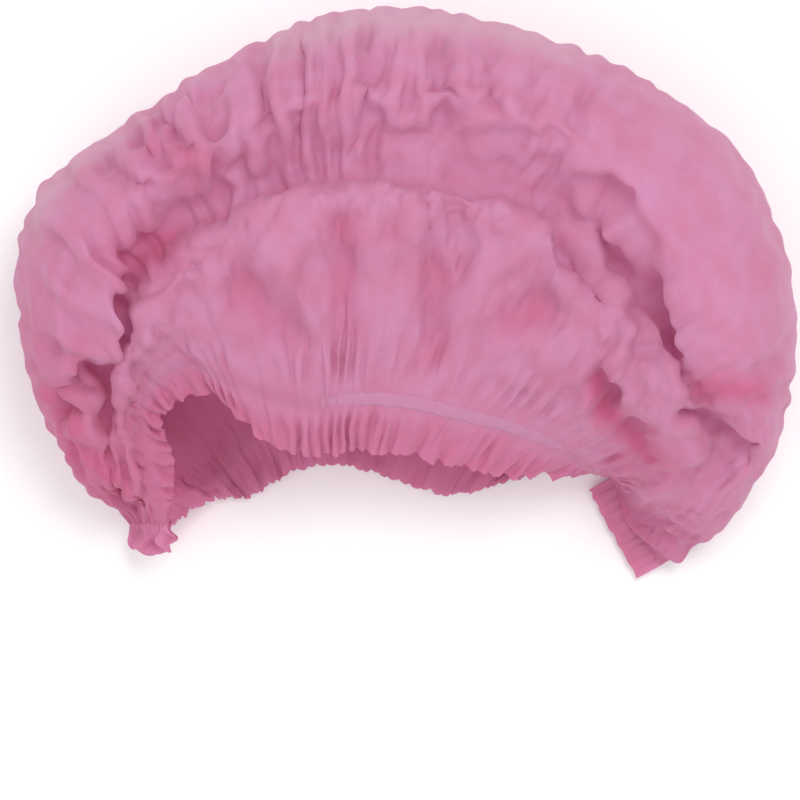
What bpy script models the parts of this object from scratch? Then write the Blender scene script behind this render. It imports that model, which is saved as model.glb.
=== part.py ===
"""A clip-style bouffant cap of thin nonwoven cloth, opened out and lying on its back.

Metres, +Z up. The cap lies on z = 0 with its mouth towards -Y. The origin is the centre of
its footprint. The cloth is one sheet that runs from the front rim, over a front lobe, down a
valley, over a wide roll and back under the cap to the rear rim. Both ends of the sheet are
pressed flat into end seals. Each rim has a gathered hem band with a flat elastic on it.
"""

import math
from collections import namedtuple

import bmesh
import bpy
import numpy as np
from mathutils import Vector

# Driving sizes, in metres. The foot inset is how far in the side first meets the surface that
# the cap lies on, and the floor reach is the share of the way to the rear band that lies flat.
CAP_WIDTH = 0.270
CAP_LENGTH = 0.198
CROWN_HEIGHT = 0.104
CLOTH_WALL = 0.0011
SIDE_HEIGHT = 0.042
FOOT_INSET = 0.022
FLOOR_REACH = 0.8
REAR_RIM_LIFT = 0.0042
CLEARANCE = 0.0004
JOINT_GAP = 0.0010

# Hem bands and their elastics
BAND_WIDTH = 0.030
BAND_RISE_DEG = 28.0
GATHER_DEPTH = 0.0016
GATHERS_PER_SECTION = 3
ELASTIC_WIDTH = 0.0050
ELASTIC_THICKNESS = 0.0009
ELASTIC_SET = 0.0200

# How many sections short of an end seal an elastic stops, where the band turns sharply
ELASTIC_STOP = 1.3

# End seals. The stack is the height between the sheet's upper and lower side at a seal, and
# the run-out is how far past the cut edge the sheet would go on straight.
SEAL_LENGTH = 0.036
SEAL_DEPTH = 0.009
SEAL_THICKNESS = 0.0034
SEAL_GROOVES = (1 / 3, 2 / 3)
SEAL_GROOVE_DEPTH = 0.0005
SEAL_GROOVE_WIDTH = 0.0012
SEAL_STACK = 0.0032
SEAL_RUN_OUT = 0.018

# Pleats across the crown, and the mesh steps for each pleat and each gather
PLEAT_DEPTH = 0.0028
PLEATS_PER_SECTION = 2
STEPS_PER_FOLD = 3

# How deep a band's gathers are at its free rim, on both sides of its elastic, and at its joint,
# and over how many sections they fade out towards an end seal
GATHER_SHARES = (1.0, 0.0, 0.0, 0.5)
GATHER_FADE = 0.5

# The fold wave: how far folds drift from even spacing, as a share of a fold, with how often
# along the sheet, and how much their height varies, with two unequal rhythms
FOLD_DRIFT = 0.10
DRIFT_RHYTHM = 4.4
HEIGHT_CHANGE = 0.25
HEIGHT_RHYTHMS = (2.3, 5.1)

# Colours, linear
CLOTH_PINK = (0.60, 0.22, 0.38, 1.0)
BAND_PINK = (0.56, 0.19, 0.34, 1.0)
ELASTIC_PINK = (0.68, 0.30, 0.46, 1.0)
SEAL_PINK = (0.58, 0.15, 0.30, 1.0)
CLOTH_ROUGHNESS = 0.85
SHARP_EDGE_DEG = 50.0

# One row for each section from the left end to the right end: the front rim, the outline and
# the low rear rim in plan, as shares of half the cap's width and half its length. Heights are
# shares of the crown height, but low_lift is a multiple of the rear rim's lift. Band is a share
# of the band's width, and lobe, valley and roll are shares of the way from band to outline.
Section = namedtuple(
    "Section",
    "rim_x rim_y rim_z out_x out_y low_x low_y low_lift band lobe lobe_z valley valley_z roll roll_z",
)
SECTIONS = (
    Section(-0.58, -0.63, 0.38, -0.86, -0.57, -0.52, -0.74, 2.6, 0.40, 0.20, 0.48, 0.40, 0.46, 0.62, 0.50),
    Section(-0.60, -0.42, 0.50, -0.98, -0.09, -0.45, -0.71, 1.2, 0.40, 0.10, 0.66, 0.24, 0.60, 0.52, 0.74),
    Section(-0.48, -0.34, 0.56, -0.92, 0.35, -0.39, -0.71, 1.0, 0.65, 0.19, 0.80, 0.38, 0.72, 0.63, 0.85),
    Section(-0.36, -0.48, 0.57, -0.64, 0.64, -0.32, -0.65, 1.0, 0.90, 0.38, 0.89, 0.57, 0.76, 0.73, 0.92),
    Section(-0.24, -0.56, 0.57, -0.32, 0.89, -0.22, -0.60, 1.0, 1.00, 0.43, 0.93, 0.59, 0.82, 0.75, 0.98),
    Section(-0.13, -0.54, 0.57, 0.00, 0.99, -0.12, -0.61, 1.0, 1.00, 0.43, 0.94, 0.59, 0.86, 0.75, 1.00),
    Section(-0.01, -0.55, 0.55, 0.33, 0.90, -0.01, -0.65, 1.0, 1.00, 0.43, 0.92, 0.60, 0.85, 0.76, 1.00),
    Section(0.10, -0.58, 0.51, 0.65, 0.72, 0.10, -0.70, 1.0, 1.00, 0.41, 0.88, 0.57, 0.80, 0.71, 1.00),
    Section(0.22, -0.62, 0.46, 0.90, 0.41, 0.21, -0.69, 1.0, 1.00, 0.31, 0.84, 0.48, 0.78, 0.62, 1.00),
    Section(0.33, -0.63, 0.39, 1.00, -0.05, 0.32, -0.64, 1.0, 0.80, 0.28, 0.76, 0.47, 0.80, 0.63, 0.97),
    Section(0.43, -0.63, 0.27, 0.97, -0.47, 0.42, -0.60, 1.0, 0.55, 0.40, 0.66, 0.68, 0.66, 0.84, 0.76),
    Section(0.52, -0.61, 0.15, 0.85, -0.80, 0.52, -0.60, 1.0, 0.35, 0.38, 0.38, 0.60, 0.42, 0.80, 0.42),
)

# Where each end seal sits: the rim corner of its cut edge in the same shares, the direction of
# the weld from the rim corner to the outer corner, the way the cut edge faces, and which way
# is out of the cap.
Seal = namedtuple("Seal", "name corner_x corner_y corner_z weld faces side")
LEFT_SEAL = Seal("left_end_seal", -0.59, -0.90, 0.35, (-0.44, -0.02, -0.90), (0.0, -1.0, 0.0), -1)
RIGHT_SEAL = Seal("right_end_seal", 0.50, -0.69, 0.035, (0.48, -0.88, 0.0), (-0.88, -0.48, 0.0), 1)

# The profile's named stations, in order from the front rim to the rear rim. Each one's share
# is how far along the weld it is pressed at an end seal.
STATIONS = (
    "rim", "band", "lobe", "valley", "roll", "shoulder", "side", "foot", "floor", "rear_band", "rear_rim",
)
SEAL_SHARES = (0.00, 0.28, 0.45, 0.60, 0.78, 0.90, 1.00, 0.90, 0.60, 0.28, 0.00)
UPPER_STATIONS = STATIONS.index("side")
V_BAND = float(STATIONS.index("band"))
V_REAR_RIM = float(STATIONS.index("rear_rim"))

# How far apart the points are from which the sheet's slope is measured, in sections or stations
SLOPE_STEP = 0.02

# How deep the crown's pleats are at each station, as a share of the pleat depth
PLEAT_SHARES = (0.0, 0.30, 0.45, 0.90, 1.00, 0.95, 0.75, 0.0, 0.0, 0.0, 0.0)

# Mesh rows of the crown, by the stations between which they lie
CROWN_ROWS = (2, 3, 3, 2, 2, 2, 3, 2)

# Dents and swellings of the crown: place in sections and stations, reach in the same units,
# and height as a share of the crown height.
Dent = namedtuple("Dent", "section station reach_section reach_station height")
DENTS = (
    Dent(2.1, 2.9, 0.55, 0.45, -0.05),
    Dent(3.9, 2.1, 0.50, 0.50, -0.05),
    Dent(5.0, 1.9, 0.40, 0.70, 0.04),
    Dent(6.9, 2.0, 0.35, 0.80, -0.05),
    Dent(8.3, 2.2, 0.45, 0.45, -0.07),
    Dent(8.8, 3.0, 0.60, 0.35, -0.10),
    Dent(9.5, 4.5, 0.60, 0.60, 0.04),
    Dent(10.4, 1.7, 0.45, 0.40, -0.08),
    Dent(11.2, 2.6, 0.35, 0.40, -0.06),
    Dent(6.0, 4.2, 0.70, 0.45, -0.04),
    Dent(2.5, 3.45, 1.00, 0.28, 0.07),
    Dent(9.4, 3.50, 1.30, 0.28, 0.05),
)


def smooth_weights(t):
    """Weights of four neighbouring values for a smooth curve through the middle two."""
    return np.stack(
        [
            -0.5 * t + t**2 - 0.5 * t**3,
            1.0 - 2.5 * t**2 + 1.5 * t**3,
            0.5 * t + 2.0 * t**2 - 1.5 * t**3,
            -0.5 * t**2 + 0.5 * t**3,
        ],
        axis=-1,
    )


def plan_point(share_x, share_y, z):
    return np.array([share_x * CAP_WIDTH / 2, share_y * CAP_LENGTH / 2, z])


def seal_axes(seal):
    """Unit vectors along the weld, out of the cut edge, and out of the cap's upper side."""
    weld = Vector(seal.weld).normalized()
    faces = Vector(seal.faces)
    faces = (faces - weld * faces.dot(weld)).normalized()
    out = faces.cross(weld) * seal.side
    return np.array(weld), np.array(faces), np.array(out)


def seal_corner(seal):
    return plan_point(seal.corner_x, seal.corner_y, seal.corner_z * CROWN_HEIGHT)


def end_section(seal):
    """The sheet's profile where it runs into an end seal: pressed flat, upper side over lower."""
    weld, faces, out = seal_axes(seal)
    start = seal_corner(seal) - faces * (SEAL_DEPTH + CLEARANCE)
    points = []
    for index, share in enumerate(SEAL_SHARES):
        lift = np.sign(UPPER_STATIONS - index) * SEAL_STACK / 2
        points.append(start + weld * share * SEAL_LENGTH + out * lift)
    return np.array(points)


def open_section(row):
    """The sheet's profile at one section of the open cap, as one point for each station."""
    rim = plan_point(row.rim_x, row.rim_y, row.rim_z * CROWN_HEIGHT)
    outline = plan_point(row.out_x, row.out_y, 0.0)
    spoke = (outline - rim) * np.array([1.0, 1.0, 0.0])
    reach = np.linalg.norm(spoke)
    spoke = spoke / reach

    def on_spoke(distance, z):
        return np.array([rim[0], rim[1], 0.0]) + spoke * distance + np.array([0.0, 0.0, z])

    rise = math.radians(BAND_RISE_DEG)
    band = row.band * BAND_WIDTH
    band_reach = band * math.cos(rise)
    beyond = reach - band_reach
    roll_reach = band_reach + row.roll * beyond
    roll_z = row.roll_z * CROWN_HEIGHT
    side_z = SIDE_HEIGHT * row.roll_z
    quarter = math.sqrt(0.5)

    rear_rim = plan_point(row.low_x, row.low_y, row.low_lift * REAR_RIM_LIFT)
    under = (outline - rear_rim) * np.array([1.0, 1.0, 0.0])
    under = under / np.linalg.norm(under)
    rear_band = rear_rim + under * band
    rear_band[2] = (ELASTIC_THICKNESS + 2 * CLEARANCE) * row.low_lift
    foot = outline - under * FOOT_INSET * row.roll_z
    floor = foot + (rear_band - foot) * FLOOR_REACH
    floor[2] = 0.0

    return np.array(
        [
            rim,
            on_spoke(band_reach, rim[2] + band * math.sin(rise)),
            on_spoke(band_reach + row.lobe * beyond, row.lobe_z * CROWN_HEIGHT),
            on_spoke(band_reach + row.valley * beyond, row.valley_z * CROWN_HEIGHT),
            on_spoke(roll_reach, roll_z),
            on_spoke(roll_reach + quarter * (reach - roll_reach), side_z + quarter * (roll_z - side_z)),
            outline + np.array([0.0, 0.0, side_z]),
            foot,
            floor,
            rear_band,
            rear_rim,
        ]
    )


def control_net():
    """Every section's profile from the left seal to the right one, with one row beyond each.

    The row beyond lies a short run-out off the cut edge, so that the sheet leaves it square.
    """
    rows = [end_section(LEFT_SEAL)]
    rows += [open_section(row) for row in SECTIONS]
    rows.append(end_section(RIGHT_SEAL))
    beyond_left = rows[0] + seal_axes(LEFT_SEAL)[1] * SEAL_RUN_OUT
    beyond_right = rows[-1] + seal_axes(RIGHT_SEAL)[1] * SEAL_RUN_OUT
    return np.array([beyond_left, *rows, beyond_right])


NET = control_net()
LAST_SECTION = float(len(SECTIONS) + 1)


def surface(u, v):
    """Points of the sheet's outer face. u counts sections and v counts stations."""
    u, v = np.broadcast_arrays(np.asarray(u, float), np.asarray(v, float))
    row = np.clip(np.floor(u).astype(int), 0, int(LAST_SECTION) - 1)
    column = np.clip(np.floor(v).astype(int), 0, len(STATIONS) - 2)
    by_u = smooth_weights(u - row)
    by_v = smooth_weights(v - column)
    padded = np.concatenate([2 * NET[:, :1] - NET[:, 1:2], NET, 2 * NET[:, -1:] - NET[:, -2:-1]], axis=1)
    points = np.zeros(u.shape + (3,))
    for i in range(4):
        for j in range(4):
            points += (by_u[..., i] * by_v[..., j])[..., None] * padded[row + i, column + j]
    points[..., 2] = np.maximum(points[..., 2], 0.0)
    return points


def sheet_slope(u, v, by_u, by_v):
    """How the sheet's points change with u or v."""

    def moved(step):
        return surface(
            np.clip(u + step * by_u, 0.0, LAST_SECTION),
            np.clip(v + step * by_v, 0.0, V_REAR_RIM),
        )

    return (moved(SLOPE_STEP) - moved(-SLOPE_STEP)) / (2 * SLOPE_STEP)


def outward(u, v):
    """Unit normals of the sheet, pointing out of the cap."""
    normal = np.cross(sheet_slope(u, v, 1, 0), sheet_slope(u, v, 0, 1))
    return normal / np.linalg.norm(normal, axis=-1, keepdims=True)


def fade_to_seals(u, reach=1.0):
    """0 at both end seals, and 1 from the given number of sections inwards."""
    share = np.clip(np.minimum(u, LAST_SECTION - u) / reach, 0.0, 1.0)
    return share * share * (3 - 2 * share)


def fold_wave(u, folds_per_section):
    """Ridges and troughs, one pair for each fold, of uneven height and spacing."""
    drift = FOLD_DRIFT * np.sin(u * DRIFT_RHYTHM)
    change = np.sin(u * HEIGHT_RHYTHMS[0]) * np.cos(u * HEIGHT_RHYTHMS[1])
    height = 1.0 - HEIGHT_CHANGE * (1.0 - change)
    return np.cos((u * folds_per_section + drift) * 2 * math.pi) * height


def crown_relief(u, v):
    """How far the crown's pleats and dents stand off the smooth sheet."""
    depth = np.interp(v, np.arange(len(STATIONS)), PLEAT_SHARES) * PLEAT_DEPTH
    relief = depth * fold_wave(u, PLEATS_PER_SECTION) * fade_to_seals(u)
    for dent in DENTS:
        across = ((u - dent.section) / dent.reach_section) ** 2
        along = ((v - dent.station) / dent.reach_station) ** 2
        relief = relief + dent.height * CROWN_HEIGHT * np.exp(-(across + along))
    return relief


def station_step(u, v, distance):
    """How far v has to change at each u to move that distance square to the line along u."""
    along_u = sheet_slope(u, v, 1, 0)
    along_v = sheet_slope(u, v, 0, 1)
    area = np.linalg.norm(np.cross(along_u, along_v), axis=-1)
    return distance * np.linalg.norm(along_u, axis=-1) / area


def shell_object(name, outer, inner, material):
    """A closed wall between two grids of points of the same shape."""
    columns, rows = outer.shape[:2]
    points = np.concatenate([outer.reshape(-1, 3), inner.reshape(-1, 3)])
    under = columns * rows

    def at(i, j, side):
        return side * under + i * rows + j

    faces = []

    def quad(a, b, c, d):
        faces.append((a, b, c))
        faces.append((a, c, d))

    for i in range(columns - 1):
        for j in range(rows - 1):
            a, b, c, d = at(i, j, 0), at(i + 1, j, 0), at(i + 1, j + 1, 0), at(i, j + 1, 0)
            quad(a, b, c, d)
            faces.append((a + under, c + under, b + under))
            faces.append((a + under, d + under, c + under))
    for i in range(columns - 1):
        quad(at(i, 0, 1), at(i + 1, 0, 1), at(i + 1, 0, 0), at(i, 0, 0))
        last = rows - 1
        quad(at(i, last, 0), at(i + 1, last, 0), at(i + 1, last, 1), at(i, last, 1))
    for j in range(rows - 1):
        quad(at(0, j, 0), at(0, j + 1, 0), at(0, j + 1, 1), at(0, j, 1))
        last = columns - 1
        quad(at(last, j, 1), at(last, j + 1, 1), at(last, j + 1, 0), at(last, j, 0))

    mesh = bpy.data.meshes.new(name)
    mesh.from_pydata([tuple(p) for p in points], [], faces)
    mesh.shade_smooth()
    mesh.set_sharp_from_angle(angle=math.radians(SHARP_EDGE_DEG))
    mesh.materials.append(material)
    made = bpy.data.objects.new(name, mesh)
    bpy.context.scene.collection.objects.link(made)
    return made


def cloth_material(name, colour):
    material = bpy.data.materials.new(name)
    material.use_nodes = True
    shader = material.node_tree.nodes["Principled BSDF"]
    shader.inputs["Base Color"].default_value = colour
    shader.inputs["Roughness"].default_value = CLOTH_ROUGHNESS
    shader.inputs["Metallic"].default_value = 0.0
    return material


def fold_columns(folds_per_section):
    """Places along the sheet, a few for each fold."""
    count = int(LAST_SECTION) * folds_per_section * STEPS_PER_FOLD
    return np.linspace(0.0, LAST_SECTION, count + 1)


def make_crown(material):
    """The puffed sheet between the two hem bands, without its rims."""
    columns = fold_columns(PLEATS_PER_SECTION)
    rows = []
    station = V_BAND
    for count in CROWN_ROWS:
        rows += [station + step / count for step in range(count)]
        station += 1.0
    rows.append(station)
    u, v = np.meshgrid(columns, rows, indexing="ij")
    v = v.copy()
    v[:, 0] += station_step(columns, v[:, 0], JOINT_GAP / 2)
    v[:, -1] -= station_step(columns, v[:, -1], JOINT_GAP / 2)
    normal = outward(u, v)
    relief = crown_relief(u, v)[..., None]
    outer = surface(u, v) + normal * relief
    outer[..., 2] = np.maximum(outer[..., 2], 0.0)
    inner = outer - normal * CLOTH_WALL
    return shell_object("crown", outer, inner, material)


def band_rows(rear, margin=0.0):
    """A band's mesh rows in stations, with level rows on both sides of the elastic's seat."""
    seat_start = (ELASTIC_SET + margin) / BAND_WIDTH
    seat_end = (ELASTIC_SET + ELASTIC_WIDTH - margin) / BAND_WIDTH
    shares = [0.0, seat_start, seat_end, V_BAND]
    return [V_REAR_RIM - share for share in reversed(shares)] if rear else shares


def make_band(name, rear, material):
    """A gathered hem: ruffled at its free rim and joint, and level under its elastic."""
    columns = fold_columns(GATHERS_PER_SECTION)
    u, v = np.meshgrid(columns, band_rows(rear), indexing="ij")
    v = v.copy()
    gap = station_step(columns, v[:, 0 if rear else -1], JOINT_GAP / 2)
    if rear:
        v[:, 0] += gap
    else:
        v[:, -1] -= gap
    depth = np.array(GATHER_SHARES[::-1] if rear else GATHER_SHARES)
    relief = GATHER_DEPTH * depth * fold_wave(u, GATHERS_PER_SECTION) * fade_to_seals(u, GATHER_FADE)
    normal = outward(u, v)
    outer = surface(u, v) + normal * relief[..., None]
    return shell_object(name, outer, outer - normal * CLOTH_WALL, material)


def make_elastic(name, rear, material):
    """The flat elastic that lies along a band, its clearance off the band's outer face."""
    columns = fold_columns(GATHERS_PER_SECTION)
    columns = columns[(columns >= ELASTIC_STOP) & (columns <= LAST_SECTION - ELASTIC_STOP)]
    u, v = np.meshgrid(columns, band_rows(rear, CLEARANCE)[1:3], indexing="ij")
    normal = outward(u, v)
    inner = surface(u, v) + normal * CLEARANCE
    return shell_object(name, inner + normal * ELASTIC_THICKNESS, inner, material)


def make_seal(seal, material):
    """A pressed end: a flat bar along the weld with two weld grooves across each face."""
    weld, faces, out = (Vector(axis) for axis in seal_axes(seal))
    corner = Vector(seal_corner(seal))
    half = SEAL_THICKNESS / 2
    profile = [(0.0, half)]
    for groove in SEAL_GROOVES:
        middle = groove * SEAL_DEPTH
        profile.append((middle - SEAL_GROOVE_WIDTH / 2, half))
        profile.append((middle, half - SEAL_GROOVE_DEPTH))
        profile.append((middle + SEAL_GROOVE_WIDTH / 2, half))
    profile.append((SEAL_DEPTH, half))
    profile += [(depth, -height) for depth, height in reversed(profile)]
    mesh = bpy.data.meshes.new(seal.name)
    shape = bmesh.new()
    ring = [shape.verts.new(corner - faces * depth + out * height) for depth, height in profile]
    cap = shape.faces.new(ring)
    moved = bmesh.ops.extrude_face_region(shape, geom=[cap])["geom"]
    tops = [item for item in moved if isinstance(item, bmesh.types.BMVert)]
    bmesh.ops.translate(shape, verts=tops, vec=weld * SEAL_LENGTH)
    bmesh.ops.recalc_face_normals(shape, faces=shape.faces)
    shape.to_mesh(mesh)
    shape.free()
    mesh.materials.append(material)
    made = bpy.data.objects.new(seal.name, mesh)
    bpy.context.scene.collection.objects.link(made)
    return made


def centre_footprint(objects):
    """Moves every mesh in plan so that the middle of the whole footprint is the origin."""
    points = np.array([tuple(v.co) for item in objects for v in item.data.vertices])
    middle = (points.min(axis=0) + points.max(axis=0)) / 2
    for item in objects:
        for vertex in item.data.vertices:
            vertex.co.x -= middle[0]
            vertex.co.y -= middle[1]


def main():
    for item in list(bpy.data.objects):
        bpy.data.objects.remove(item)
    cloth = cloth_material("crown_cloth", CLOTH_PINK)
    band = cloth_material("band_cloth", BAND_PINK)
    elastic = cloth_material("elastic_cloth", ELASTIC_PINK)
    sealed = cloth_material("sealed_cloth", SEAL_PINK)
    made = [
        make_crown(cloth),
        make_band("front_band", False, band),
        make_band("rear_band", True, band),
        make_elastic("front_elastic", False, elastic),
        make_elastic("rear_elastic", True, elastic),
        make_seal(LEFT_SEAL, sealed),
        make_seal(RIGHT_SEAL, sealed),
    ]
    centre_footprint(made)


main()
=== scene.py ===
"""The looks of a clip-style bouffant cap of thin pink nonwoven, lying on its back."""

import math
from collections import namedtuple

import bpy
import numpy as np
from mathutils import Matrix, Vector


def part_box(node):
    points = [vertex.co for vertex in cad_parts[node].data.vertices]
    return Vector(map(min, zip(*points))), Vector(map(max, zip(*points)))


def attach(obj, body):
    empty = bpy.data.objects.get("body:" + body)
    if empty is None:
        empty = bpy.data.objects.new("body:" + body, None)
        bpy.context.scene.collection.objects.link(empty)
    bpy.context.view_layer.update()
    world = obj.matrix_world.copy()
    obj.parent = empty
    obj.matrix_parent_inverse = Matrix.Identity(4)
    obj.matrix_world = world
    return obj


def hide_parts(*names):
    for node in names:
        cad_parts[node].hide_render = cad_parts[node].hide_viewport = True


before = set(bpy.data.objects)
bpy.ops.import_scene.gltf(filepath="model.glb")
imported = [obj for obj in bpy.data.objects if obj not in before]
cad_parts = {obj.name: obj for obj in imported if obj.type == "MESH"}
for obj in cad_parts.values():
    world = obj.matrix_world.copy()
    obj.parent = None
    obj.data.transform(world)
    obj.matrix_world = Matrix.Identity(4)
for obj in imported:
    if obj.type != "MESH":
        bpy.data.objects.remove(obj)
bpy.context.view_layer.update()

RANDOM = np.random.default_rng(2125)

# Sizes of the cap, in metres
CAP_WIDTH = 0.270
CAP_LENGTH = 0.198
CROWN_HEIGHT = 0.104
SIDE_HEIGHT = 0.042
FOOT_INSET = 0.022
REAR_RIM_LIFT = 0.0042
ELASTIC_LIFT = 0.0017
BAND_WIDTH = 0.030
ELASTIC_WIDTH = 0.0050
ELASTIC_SET = 0.0200
SEAL_LENGTH = 0.036
SEAL_DEPTH = 0.009
SEAL_STACK = 0.0032
SEAL_THICKNESS = 0.0034
SEAL_GAP = 0.0004
SEAL_RUN_OUT = 0.018
SURFACE_GAP = 0.0002

# How steeply the front band rises, and the share of the way from the foot to the rear band
# where the flat floor ends
BAND_RISE_DEG = 28.0
FLOOR_REACH = 0.8

# Sections and seals as in the part's source: plan places are shares of half the width and half
# the length, heights are shares of the crown height, low_lift is a multiple of the rear rim's
# lift, band is a share of the band's width, and lobe, valley and roll are shares of the way
# from band to outline.
Section = namedtuple(
    "Section",
    "rim_x rim_y rim_z out_x out_y low_x low_y low_lift band lobe lobe_z valley valley_z roll roll_z",
)
SECTIONS = (
    Section(-0.58, -0.63, 0.38, -0.86, -0.57, -0.52, -0.74, 2.6, 0.40, 0.20, 0.48, 0.40, 0.46, 0.62, 0.50),
    Section(-0.60, -0.42, 0.50, -0.98, -0.09, -0.45, -0.71, 1.2, 0.40, 0.10, 0.66, 0.24, 0.60, 0.52, 0.74),
    Section(-0.48, -0.34, 0.56, -0.92, 0.35, -0.39, -0.71, 1.0, 0.65, 0.19, 0.80, 0.38, 0.72, 0.63, 0.85),
    Section(-0.36, -0.48, 0.57, -0.64, 0.64, -0.32, -0.65, 1.0, 0.90, 0.38, 0.89, 0.57, 0.76, 0.73, 0.92),
    Section(-0.24, -0.56, 0.57, -0.32, 0.89, -0.22, -0.60, 1.0, 1.00, 0.43, 0.93, 0.59, 0.82, 0.75, 0.98),
    Section(-0.13, -0.54, 0.57, 0.00, 0.99, -0.12, -0.61, 1.0, 1.00, 0.43, 0.94, 0.59, 0.86, 0.75, 1.00),
    Section(-0.01, -0.55, 0.55, 0.33, 0.90, -0.01, -0.65, 1.0, 1.00, 0.43, 0.92, 0.60, 0.85, 0.76, 1.00),
    Section(0.10, -0.58, 0.51, 0.65, 0.72, 0.10, -0.70, 1.0, 1.00, 0.41, 0.88, 0.57, 0.80, 0.71, 1.00),
    Section(0.22, -0.62, 0.46, 0.90, 0.41, 0.21, -0.69, 1.0, 1.00, 0.31, 0.84, 0.48, 0.78, 0.62, 1.00),
    Section(0.33, -0.63, 0.39, 1.00, -0.05, 0.32, -0.64, 1.0, 0.80, 0.28, 0.76, 0.47, 0.80, 0.63, 0.97),
    Section(0.43, -0.63, 0.27, 0.97, -0.47, 0.42, -0.60, 1.0, 0.55, 0.40, 0.66, 0.68, 0.66, 0.84, 0.76),
    Section(0.52, -0.61, 0.15, 0.85, -0.80, 0.52, -0.60, 1.0, 0.35, 0.38, 0.38, 0.60, 0.42, 0.80, 0.42),
)

# The end seals: the corner at the cut edge, the directions of the weld and of the cut edge's
# face, the side of the cap, how much the layers crumple in metres, and how deep the colour is
# at the cut edge.
Seal = namedtuple("Seal", "name corner_x corner_y corner_z weld faces side crumple layered")
LEFT_SEAL = Seal(
    "left_end_seal", -0.59, -0.90, 0.35, (-0.44, -0.02, -0.90), (0.0, -1.0, 0.0), -1, 0.0036, 0.0
)
RIGHT_SEAL = Seal(
    "right_end_seal", 0.50, -0.69, 0.035, (0.48, -0.88, 0.0), (-0.88, -0.48, 0.0), 1, 0.0002, 0.3
)

# The stations of a section from rim to rim, and how far along a seal each one ends, as a share
STATIONS = (
    "rim", "band", "lobe", "valley", "roll", "shoulder",
    "side", "foot", "floor", "rear_band", "rear_rim",
)
SEAL_SHARES = (0.00, 0.28, 0.45, 0.60, 0.78, 0.90, 1.00, 0.90, 0.60, 0.28, 0.00)
UPPER_STATIONS = STATIONS.index("side")
V_LOBE = float(STATIONS.index("lobe"))
V_FLOOR = float(STATIONS.index("floor"))
V_REAR_RIM = float(len(STATIONS) - 1)
LAST_SECTION = float(len(SECTIONS) + 1)

# Mesh columns from end to end, and mesh rows between the stations. The large folds settle
# first, on a mesh of every fourth column and every other row.
COLUMNS = 880
ROWS = (24, 32, 28, 28, 24, 20, 16, 12, 8, 16)
STEP_ALONG = 4
STEP_ACROSS = 2

# How the cloth is folded at places along its width, which count stations. Fine, middle and
# coarse are heights of the gathers and pleats, lumps and crinkle are heights of large and small
# swellings without direction, and frill is how far the rim's edge moves in its own plane, in
# metres. Spare_u and spare_v are the spare lengths along and across the sheet, and hold is how
# firmly it keeps to its form.
Folding = namedtuple("Folding", "place fine middle coarse lumps crinkle frill spare_u spare_v hold")
FOLDING = (
    Folding(0.0, 0.0019, 0.0018, 0.0014, 0.0010, 0.0010, 0.0005, 1.02, 1.00, 0.020),
    Folding(0.4, 0.0015, 0.0012, 0.0006, 0.0004, 0.0006, 0.0003, 1.02, 1.00, 0.020),
    Folding(0.62, 0.0004, 0.0003, 0.0004, 0.0002, 0.0002, 0.0000, 1.00, 1.00, 0.040),
    Folding(0.88, 0.0004, 0.0003, 0.0004, 0.0002, 0.0002, 0.0000, 1.00, 1.00, 0.040),
    Folding(1.1, 0.0016, 0.0010, 0.0006, 0.0006, 0.0008, 0.0000, 1.02, 1.02, 0.015),
    Folding(1.35, 0.0003, 0.0005, 0.0006, 0.0024, 0.0014, 0.0000, 1.02, 1.03, 0.010),
    Folding(1.6, 0.0000, 0.0002, 0.0004, 0.0044, 0.0024, 0.0000, 1.02, 1.03, 0.008),
    Folding(2.2, 0.0000, 0.0002, 0.0006, 0.0044, 0.0024, 0.0000, 1.02, 1.03, 0.008),
    Folding(3.0, 0.0016, 0.0018, 0.0012, 0.0012, 0.0008, 0.0000, 1.05, 1.02, 0.008),
    Folding(4.0, 0.0013, 0.0022, 0.0016, 0.0008, 0.0006, 0.0000, 1.04, 1.01, 0.010),
    Folding(5.0, 0.0013, 0.0018, 0.0014, 0.0008, 0.0008, 0.0000, 1.04, 1.01, 0.010),
    Folding(5.8, 0.0006, 0.0008, 0.0008, 0.0008, 0.0010, 0.0000, 1.03, 1.02, 0.010),
    Folding(6.4, 0.0006, 0.0012, 0.0014, 0.0016, 0.0014, 0.0000, 1.04, 1.03, 0.010),
    Folding(7.0, 0.0006, 0.0012, 0.0014, 0.0012, 0.0014, 0.0000, 1.04, 1.03, 0.015),
    Folding(7.6, 0.0003, 0.0008, 0.0008, 0.0004, 0.0006, 0.0000, 1.03, 1.01, 0.030),
    Folding(8.2, 0.0000, 0.0003, 0.0004, 0.0000, 0.0003, 0.0000, 1.02, 1.00, 0.050),
    Folding(9.0, 0.0013, 0.0008, 0.0004, 0.0000, 0.0003, 0.0000, 1.03, 1.00, 0.050),
    Folding(9.4, 0.0008, 0.0006, 0.0002, 0.0000, 0.0003, 0.0000, 1.03, 1.00, 0.050),
    Folding(10.0, 0.0018, 0.0016, 0.0012, 0.0006, 0.0008, 0.0006, 1.03, 1.00, 0.040),
)

# Folds to a section, how far their places wander as shares of a fold, and how far the rim's
# frill runs ahead of them
FINE_FOLDS = 4.4
MIDDLE_FOLDS = 2.3
COARSE_FOLDS = 1.25
FINE_DRIFT = 0.36
MIDDLE_DRIFT = 0.32
COARSE_DRIFT = 0.36
FRILL_LEAD = 0.25

# The shape of a fold: the power that rounds its ridges, its height from trough to ridge, and
# how far its troughs lie below the sheet. Then the mean, least and greatest height of the folds
# as shares of the table's.
RIDGE_POWER = 0.8
RIDGE_RISE = 1.8
TROUGH_DROP = 1.1
MEAN_FOLD = 0.60
LEAST_FOLD = 0.05
GREATEST_FOLD = 1.25

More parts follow.
